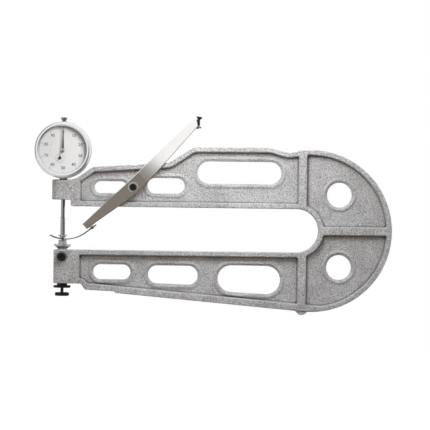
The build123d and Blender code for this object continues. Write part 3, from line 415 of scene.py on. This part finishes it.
bezelKnurl = {"ridges": 132.0, "rim": 0.0002, "depth": 0.00018}
bezelMetal = plainFinish("bezelMetal", grey(0.93), grey(0.88), 180.0, (0.38, 0.48), metallic=1.0)
addKnurl(bezelMetal, (dialX, dialZ), bezelRadius, bezelKnurl)

# Pieces whose tone differs a little from the rest of their slot
groundSteel = plainFinish("groundSteel", grey(0.62), grey(0.52), 300.0, (0.22, 0.32), metallic=0.5)
levelGrain = (0, 0, 0)
ownFinish = {
    "anvil": groundSteel,
    "bezel": bezelMetal,
    "contact_point": groundSteel,
    # The crystal ring is dark grey as painted shade, a dark line round the inside of the bezel
    "crystal_ring": plainFinish("shadedRingPlastic", grey(0.34), grey(0.28), 500.0, (0.4, 0.55)),
    "extension_rod": brushedFinish(
        "rodSteel", grey(0.4, 0.05), grey(0.32, 0.06), (0.26, 0.36), turn=levelGrain
    ),
    "fork_spacers": plainFinish(
        "spacerSteel", grey(0.9), grey(0.84), 300.0, (0.2, 0.3), metallic=0.5
    ),
    "lift_collar": groundSteel,
    "lift_fork": plainFinish("forkSteel", grey(0.012), grey(0.02), 500.0, (0.5, 0.6)),
    "lifting_knob": plainFinish("knobSteel", grey(0.3), grey(0.24), 300.0, (0.3, 0.4), metallic=1.0),
    "pivot_bush": brushedFinish(
        "bushSteel", grey(0.74, 0.02), grey(0.66, 0.03), (0.24, 0.34), turn=levelGrain
    ),
    "spindle": plainFinish("spindleSteel", grey(0.38), grey(0.33), 300.0, (0.12, 0.2), metallic=1.0),
    # The stem is darkened with painted shade, where it shows in the gap between the bezel and the head
    "stem": plainFinish("shadedStemSteel", grey(0.1), grey(0.07), 300.0, (0.2, 0.3), metallic=1.0),
}

# Each CAD node takes its own finish, or the finish of its slot in the record
for entry in frame["record"]["subparts"]:
    piece = nodes[entry["node"]]
    piece.data.materials.clear()
    piece.data.materials.append(ownFinish.get(entry["node"], materials[entry["material_slot"]]))
print("finishes given to the CAD pieces")

facingFront = (math.radians(90), 0, 0)  # turns a new piece's own top towards the front


# Helpers for new pieces
def clearSelection():
    bpy.ops.object.select_all(action="DESELECT")


def pickOnly(piece):
    clearSelection()
    piece.select_set(True)
    bpy.context.view_layer.objects.active = piece


def settle(piece, name, material, body):
    pickOnly(piece)
    bpy.ops.object.transform_apply(location=True, rotation=True, scale=True)
    piece.name = name
    piece.data.materials.clear()
    piece.data.materials.append(material)
    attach(piece, body)


def joinPieces(pieces):
    clearSelection()
    for piece in pieces:
        piece.select_set(True)
    bpy.context.view_layer.objects.active = pieces[0]
    bpy.ops.object.join()
    return bpy.context.view_layer.objects.active


# The angle of one mark among several that are spread evenly round a circle
def markAngle(index, divisions):
    return math.radians(360 / divisions * index)


# A place on the dial, at an angle clockwise from the top
def dialPlace(centre, radius, angle, depth):
    return (centre[0] + radius * math.sin(angle), depth, centre[1] + radius * math.cos(angle))


def flatText(body, look, place):
    bpy.ops.object.text_add(location=place, rotation=facingFront)
    text = bpy.context.object
    text.data.body = body
    text.data.size = look["numberSize"]
    text.data.offset = look["numberWeight"]
    text.data.align_x = "CENTER"
    text.data.align_y = "CENTER"
    text.data.extrude = look["ink"] / 2
    pickOnly(text)
    bpy.ops.object.convert(target="MESH")
    return bpy.context.object


def tickMark(length, width, ink, angle, radius, centre, face):
    place = dialPlace(centre, radius - length / 2, angle, face - ink / 2)
    bpy.ops.mesh.primitive_cube_add(size=1.0, location=place, rotation=(0, angle, 0))
    mark = bpy.context.object
    mark.scale = (width, ink, length)
    return mark


# The turning scale: a hundred ticks and the tens
dialScale = {
    "divisions": 100,
    "numbers": 10,
    "outer": 0.0236,
    "minor": 0.0012,
    "middle": 0.0017,
    "major": 0.0024,
    "minorWidth": 0.00013,
    "majorWidth": 0.00028,
    "ink": 0.00006,
    "numberRadius": 0.0179,
    "numberSize": 0.0042,
    "numberWeight": 0.00003,
}
dialCentre = (dialX, dialZ)

clearSelection()
marks = []
for index in range(dialScale["divisions"]):
    kind = "major" if index % 10 == 0 else "middle" if index % 5 == 0 else "minor"
    width = dialScale["majorWidth"] if kind == "major" else dialScale["minorWidth"]
    angle = markAngle(index, dialScale["divisions"])
    tick = (dialScale[kind], width, dialScale["ink"])
    marks.append(tickMark(*tick, angle, dialScale["outer"], dialCentre, scaleFace))
settle(joinPieces(marks), "scaleMarks", printInk, "bezel")

numbers = []
for index in range(dialScale["numbers"]):
    angle = markAngle(index, dialScale["numbers"])
    place = dialPlace(dialCentre, dialScale["numberRadius"], angle, scaleFace - dialScale["ink"])
    numbers.append(flatText(str(10 * index), dialScale, place))
settle(joinPieces(numbers), "scaleNumbers", printInk, "bezel")
print("dial scale printed")

# The turn counter's small scale: a ring line, ten ticks and the even numbers, counting anticlockwise
counterScale = {
    "dx": -0.0031,
    "dz": -0.008,
    "divisions": 10,
    "radius": 0.0044,
    "length": 0.0007,
    "width": 0.00014,
    "line": 0.00007,
    "lineHeight": 0.8,
    "ink": 0.00006,
    "numberRadius": 0.0029,
    "numberSize": 0.0012,
    "numberWeight": 0.00001,
}
counterCentre = (dialX + counterScale["dx"], dialZ + counterScale["dz"])
marks = []
for index in range(counterScale["divisions"]):
    angle = markAngle(index, counterScale["divisions"])
    tick = (counterScale["length"], counterScale["width"], counterScale["ink"])
    marks.append(tickMark(*tick, angle, counterScale["radius"], counterCentre, innerFace))
bpy.ops.mesh.primitive_torus_add(
    major_radius=counterScale["radius"],
    minor_radius=counterScale["line"],
    major_segments=72,
    minor_segments=6,
    location=(counterCentre[0], innerFace, counterCentre[1]),
    rotation=facingFront,
)
ringLine = bpy.context.object
bpy.ops.object.mode_set(mode="EDIT")
bpy.ops.mesh.select_all(action="SELECT")
bpy.ops.transform.resize(value=(1, 1, counterScale["lineHeight"]), orient_type="LOCAL")
bpy.ops.object.mode_set(mode="OBJECT")
marks.append(ringLine)
settle(joinPieces(marks), "counterMarks", printInk, "frame")

numbers = []
for index in range(0, counterScale["divisions"], 2):
    angle = -markAngle(index, counterScale["divisions"])
    place = dialPlace(counterCentre, counterScale["numberRadius"], angle, innerFace - counterScale["ink"])
    numbers.append(flatText(str(index), counterScale, place))
settle(joinPieces(numbers), "counterNumbers", printInk, "frame")
print("turn counter printed")

# Cast lips around the slots and the round holes, on both sides of the web. Each ring is a distance out from
# the hole's edge and a height above the web: a slow rise, then a fall into the hole
slotLip = {
    "webFace": 0.0035,
    "rings": [(0.0058, -0.0003), (0.0042, 0.0005), (0.0028, 0.0011), (0.0021, 0.0011), (0.0002, -0.0011)],
    "root": -0.0018,
    "segments": 72,
    "merge": 0.000005,
    "middleMargin": 0.00001,
    "smooth": 60,
}

# The left and right ends of each slot, as x, z and radius
slotEnds = [
    ((-0.24, 0.0414, 0.006), (-0.2195, 0.0414, 0.006)),
    ((-0.18525, 0.04345, 0.00775), (-0.16325, 0.04345, 0.00775)),
    ((-0.13145, 0.05745, 0.01125), (-0.06965, 0.05745, 0.01125)),
    ((-0.239, -0.0436, 0.0075), (-0.2164, -0.0436, 0.0075)),
    ((-0.1823, -0.0455, 0.009), (-0.1509, -0.0461, 0.0096)),
    ((-0.1079, -0.0489, 0.0134), (-0.0728, -0.0499, 0.0144)),
]

# A round hole is a slot whose ends fall together
bowHole = {"rise": 0.03635, "radius": 0.0125}
for level in (bowHole["rise"], -bowHole["rise"]):
    end = (0.0, level, bowHole["radius"])
    slotEnds.append((end, end))


# A ring is drawn around the left end and extruded through the lip's section, and then its right half is
# moved to the slot's right end and grown to that end's radius
def makeLip(left, right, side):
    clearSelection()
    centre = (left[0], side * slotLip["webFace"], left[1])
    first, rest = slotLip["rings"][0], slotLip["rings"][1:]
    rest = rest + [(rest[-1][0], slotLip["root"]), (first[0], slotLip["root"]), first]
    radius, height = left[2] + first[0], first[1]
    bpy.ops.mesh.primitive_circle_add(
        vertices=slotLip["segments"],
        radius=radius,
        location=(centre[0], centre[1] + side * height, centre[2]),
        rotation=facingFront,
    )
    ring = bpy.context.object
    bpy.ops.object.mode_set(mode="EDIT")
    bpy.ops.mesh.select_all(action="SELECT")
    for outward, level in rest:
        growth = (left[2] + outward) / radius
        rise = (0, side * (level - height), 0)
        bpy.ops.mesh.extrude_edges_move(TRANSFORM_OT_translate={"value": rise})
        bpy.ops.transform.resize(value=(growth, 1, growth), center_override=centre)
        radius, height = left[2] + outward, level
    bpy.ops.mesh.select_all(action="SELECT")
    bpy.ops.mesh.remove_doubles(threshold=slotLip["merge"])
    bpy.ops.mesh.select_all(action="DESELECT")
    bpy.ops.object.mode_set(mode="OBJECT")
    for vertex in ring.data.vertices:
        vertex.select = (ring.matrix_world @ vertex.co).x > left[0] + slotLip["middleMargin"]
    growth = (right[2] + first[0]) / (left[2] + first[0])
    bpy.ops.object.mode_set(mode="EDIT")
    bpy.ops.mesh.select_mode(type="VERT")
    bpy.ops.transform.resize(value=(growth, 1, growth), center_override=centre)
    bpy.ops.transform.translate(value=(right[0] - left[0], 0, right[1] - left[1]))
    bpy.ops.mesh.select_all(action="SELECT")
    bpy.ops.mesh.normals_make_consistent(inside=False)
    bpy.ops.object.mode_set(mode="OBJECT")
    bpy.ops.object.shade_smooth_by_angle(angle=math.radians(slotLip["smooth"]))
    return ring


lips = []
for left, right in slotEnds:
    lips += [makeLip(left, right, -1), makeLip(left, right, 1)]
settle(joinPieces(lips), "slotLips", hammerPaint, "frame")
print("slot lips made")

# Small turned trim: a cone whose two ends are rounded
trimEdge = {"segments": 3, "smooth": 40}


def turnedTrim(look, place, turn=(0, 0, 0)):
    clearSelection()
    bpy.ops.mesh.primitive_cone_add(
        vertices=look["sides"],
        radius1=look["startRadius"],
        radius2=look["endRadius"],
        depth=look["height"],
        location=place,
        rotation=turn,
    )
    trim = bpy.context.object
    for polygon in trim.data.polygons:
        polygon.select = len(polygon.vertices) > 4
    bpy.ops.object.mode_set(mode="EDIT")
    bpy.ops.mesh.select_mode(type="FACE")
    bpy.ops.mesh.bevel(offset=look["edge"], segments=trimEdge["segments"])
    bpy.ops.object.mode_set(mode="OBJECT")
    bpy.ops.object.shade_smooth_by_angle(angle=math.radians(trimEdge["smooth"]))
    return trim


# Black sleeve on the front of the lever's tip, below the finger button
tipSleeve = {
    "place": (-0.1426, -0.0098, 0.107),
    "sides": 48,
    "startRadius": 0.0006,
    "endRadius": 0.0018,
    "height": 0.0062,
    "edge": 0.0003,
}
sleeve = turnedTrim(tipSleeve, tipSleeve["place"])
settle(sleeve, "tipSleeve", materials["black_plastic"], "lever")
print("tip sleeve made")

# Black boss over the turn counter's pointer
counterBoss = {
    "sides": 48,
    "startRadius": 0.0016,
    "endRadius": 0.0016,
    "height": 0.0004,
    "edge": 0.00012,
    "stand": 0.00005,
}
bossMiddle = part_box("counter_pointer")[0][1] - counterBoss["stand"] + counterBoss["height"] / 2
boss = turnedTrim(counterBoss, (counterCentre[0], bossMiddle, counterCentre[1]), facingFront)
settle(boss, "counterBoss", materials["pointer_black"], "counter")
print("turn counter's boss made")

# Bright cap over the main pointer's hub
hubCap = {
    "sides": 64,
    "startRadius": 0.00155,
    "endRadius": 0.00112,
    "height": 0.0006,
    "edge": 0.00015,
    "stand": 0.00004,
}
capMiddle = hubFace - hubCap["stand"] + hubCap["height"] / 2
cap = turnedTrim(hubCap, (dialX, capMiddle, dialZ), facingFront)
settle(cap, "hubCap", materials["bright_chrome"], "centre")
print("pointer hub capped")

# Thread on the adjusting screw between its head and the lock nut: a triangle, wound up the screw
screwThread = {
    "root": 0.00142,
    "crest": 0.00172,
    "pitch": 0.0005,
    "headHeight": 0.0035,
    "steps": 32,
    "merge": 0.000001,
}
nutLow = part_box("lock_nut")[0][2]
screwLow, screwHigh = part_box("adjusting_screw")
screwAxis = ((screwLow[0] + screwHigh[0]) / 2, (screwLow[1] + screwHigh[1]) / 2)
threadLow = screwLow[2] + screwThread["headHeight"]
threadTurns = math.floor((nutLow - threadLow) / screwThread["pitch"]) - 1
quarterBack = math.radians(-90)
clearSelection()
bpy.ops.mesh.primitive_circle_add(
    vertices=3,
    radius=screwThread["crest"] - screwThread["root"],
    fill_type="NOTHING",
    location=(screwAxis[0], screwAxis[1], threadLow + screwThread["pitch"]),
)
thread = bpy.context.object
bpy.ops.object.mode_set(mode="EDIT")
bpy.ops.mesh.select_all(action="SELECT")
bpy.ops.transform.rotate(value=quarterBack, orient_axis="X", center_override=thread.location)
bpy.ops.transform.rotate(value=quarterBack, orient_axis="Y", center_override=thread.location)
bpy.ops.transform.translate(value=(screwThread["root"], 0, 0))
bpy.ops.object.mode_set(mode="OBJECT")
wind = thread.modifiers.new("wind", "SCREW")
wind.axis = "Z"
wind.screw_offset = screwThread["pitch"]
wind.iterations = threadTurns
wind.steps = screwThread["steps"]
wind.render_steps = screwThread["steps"]
bpy.ops.object.modifier_apply(modifier=wind.name)
bpy.ops.object.mode_set(mode="EDIT")
bpy.ops.mesh.select_all(action="SELECT")
bpy.ops.mesh.remove_doubles(threshold=screwThread["merge"])
bpy.ops.mesh.fill_holes(sides=3)
bpy.ops.mesh.normals_make_consistent(inside=False)
bpy.ops.object.mode_set(mode="OBJECT")
settle(thread, "screwThread", materials["black_steel"], "anvil")
print("adjusting screw threaded")

# Floor: white to the camera, plain to the lamps, and dark on its right side where metal mirrors it
floorLook = {
    "drop": 0.09,
    "size": 1.6,
    "paint": (0.3, 0.235, 0.18, 1),
    "roughness": 0.9,
    "glow": 0.9,
    "mirroredGlow": 0.55,
    "foldSpan": (-0.14, -0.06),
    "foldPaint": (0.02, 0.02, 0.02, 1),
}
white = (1, 1, 1, 1)


# Rays that show the background itself, straight or through glass
def seenRays(tree, path):
    return mathNode(tree, "MAXIMUM", path.outputs["Is Camera Ray"], path.outputs["Is Transmission Ray"])


floorPlace = (dialX / 2, 0, cadBox[0][2] - floorLook["drop"])
bpy.ops.mesh.primitive_plane_add(size=floorLook["size"], location=floorPlace)
floor = bpy.context.object
floor.name = "studioFloor"
floorPaint = bpy.data.materials.new("floorPaint")
floorPaint.use_nodes = True
floor.data.materials.append(floorPaint)
tree = floorPaint.node_tree
shader = tree.nodes["Principled BSDF"]
shader.inputs["Roughness"].default_value = floorLook["roughness"]
shader.inputs["Emission Color"].default_value = white
path = tree.nodes.new("ShaderNodeLightPath")
place = tree.nodes.new("ShaderNodeTexCoord")
split = tree.nodes.new("ShaderNodeSeparateXYZ")
tree.links.new(place.outputs["Object"], split.inputs[0])
mirrored = path.outputs["Is Glossy Ray"]
dark = product(tree, mirrored, rising(tree, split.outputs["X"], floorLook["foldSpan"]))
pale = mathNode(tree, "SUBTRACT", mirrored, dark)
seenGlow = product(tree, seenRays(tree, path), floorLook["glow"])
mirroredGlow = product(tree, pale, floorLook["mirroredGlow"])
tree.links.new(mathNode(tree, "ADD", seenGlow, mirroredGlow), shader.inputs["Emission Strength"])
tree.links.new(mixColour(tree, dark, floorLook["paint"], floorLook["foldPaint"]), shader.inputs["Base Color"])

# World: soft light that is brighter from above, and white to the camera. Painted reflections, seen only in
# metal, show a white room with a dark card low in front, a dark lower right corner, a dark ring behind on the
# lower left, and a grey back wall
worldLook = {
    "skyLow": (0.105, 0.062, 0.03, 1),
    "skyHigh": (0.25, 0.275, 0.325, 1),
    "skySpan": (-0.5, 0.6),
    "cardLeft": (-0.4, -0.28),
    "cardRight": (0.82, 0.92),
    "cardTop": (0.075, 0.134),
    "cardBack": (-0.1, 0.0),
    "cardFold": (0.03, 0.2),
    "cardPale": (0.21, 0.19, 0.165, 1),
    "cardDark": (0.045, 0.04, 0.035, 1),
    "cornerSpan": (1.24, 1.34),
    "cornerPaint": (0.3, 0.29, 0.28, 1),
    "ringStart": (0.15, 0.25),
    "ringEnd": (0.68, 0.8),
    "ringSide": (0.1, 0.6),
    "ringPaint": (0.03, 0.03, 0.03, 1),
    "backStart": (0.78, 0.9),
    "backPaint": (0.5, 0.49, 0.47, 1),
}

world = bpy.data.worlds.new("studioWorld")
bpy.context.scene.world = world
world.use_nodes = True
tree = world.node_tree
background = tree.nodes["Background"]
direction = tree.nodes.new("ShaderNodeTexCoord")
split = tree.nodes.new("ShaderNodeSeparateXYZ")
tree.links.new(direction.outputs["Generated"], split.inputs[0])
right, back, up = split.outputs["X"], split.outputs["Y"], split.outputs["Z"]
sky = mixColour(tree, rising(tree, up, worldLook["skySpan"]), worldLook["skyLow"], worldLook["skyHigh"])
card = product(
    tree,
    rising(tree, right, worldLook["cardLeft"]),
    falling(tree, right, worldLook["cardRight"]),
    falling(tree, up, worldLook["cardTop"]),
    falling(tree, back, worldLook["cardBack"]),
)
cardFold = rising(tree, right, worldLook["cardFold"])
cardPaint = mixColour(tree, cardFold, worldLook["cardPale"], worldLook["cardDark"])
corner = rising(tree, mathNode(tree, "SUBTRACT", right, up), worldLook["cornerSpan"])
ring = product(
    tree,
    rising(tree, back, worldLook["ringStart"]),
    falling(tree, back, worldLook["ringEnd"]),
    falling(tree, mathNode(tree, "ADD", right, up), worldLook["ringSide"]),
)
wall = rising(tree, back, worldLook["backStart"])
room = white
for mask, paint in (
    (card, cardPaint),
    (corner, worldLook["cornerPaint"]),
    (ring, worldLook["ringPaint"]),
    (wall, worldLook["backPaint"]),
):
    room = mixColour(tree, mask, room, paint)
path = tree.nodes.new("ShaderNodeLightPath")
lit = mixColour(tree, path.outputs["Is Glossy Ray"], sky, room)
tree.links.new(mixColour(tree, seenRays(tree, path), lit, white), background.inputs["Color"])

lamps = {
    "keyLamp": {"place": (-0.12, -0.205, 0.19), "size": 0.14, "power": 0.77},
    "topLamp": {"place": (-0.12, -0.06, 0.9), "size": 0.3, "power": 4.5},
    "sideLamp": {"place": (0.7, -0.9, 0.5), "size": 0.6, "power": 1.6},
    "backLamp": {"place": (-0.12, 0.8, 0.5), "size": 0.6, "power": 4.5},
}
lampAim = Vector((-0.12, 0, 0.02))
for name, lamp in lamps.items():
    bpy.ops.object.light_add(type="AREA", location=lamp["place"])
    light = bpy.context.object
    light.name = name
    light.data.size = lamp["size"]
    light.data.energy = lamp["power"]
    light.visible_glossy = False
    aim = lampAim - Vector(lamp["place"])
    light.rotation_euler = aim.to_track_quat("-Z", "Y").to_euler()

# Camera: square on to the front, with a long lens that frames the given width at the given plane
camera = {
    "distance": 2.0,
    "width": 0.43,
    "centre": (-0.1247, 0.0148),
    "plane": -0.01,
    "roll": -0.75,
    "sensor": 36.0,
    "reach": 20.0,
}
bpy.ops.object.camera_add(
    location=(camera["centre"][0], camera["plane"] - camera["distance"], camera["centre"][1]),
    rotation=(math.radians(90), math.radians(camera["roll"]), 0),
)
view = bpy.context.object
view.data.sensor_width = camera["sensor"]
view.data.lens = camera["sensor"] * camera["distance"] / camera["width"]
view.data.clip_end = camera["reach"]
bpy.context.scene.camera = view
bpy.context.scene.view_settings.view_transform = "Standard"
print("studio set")
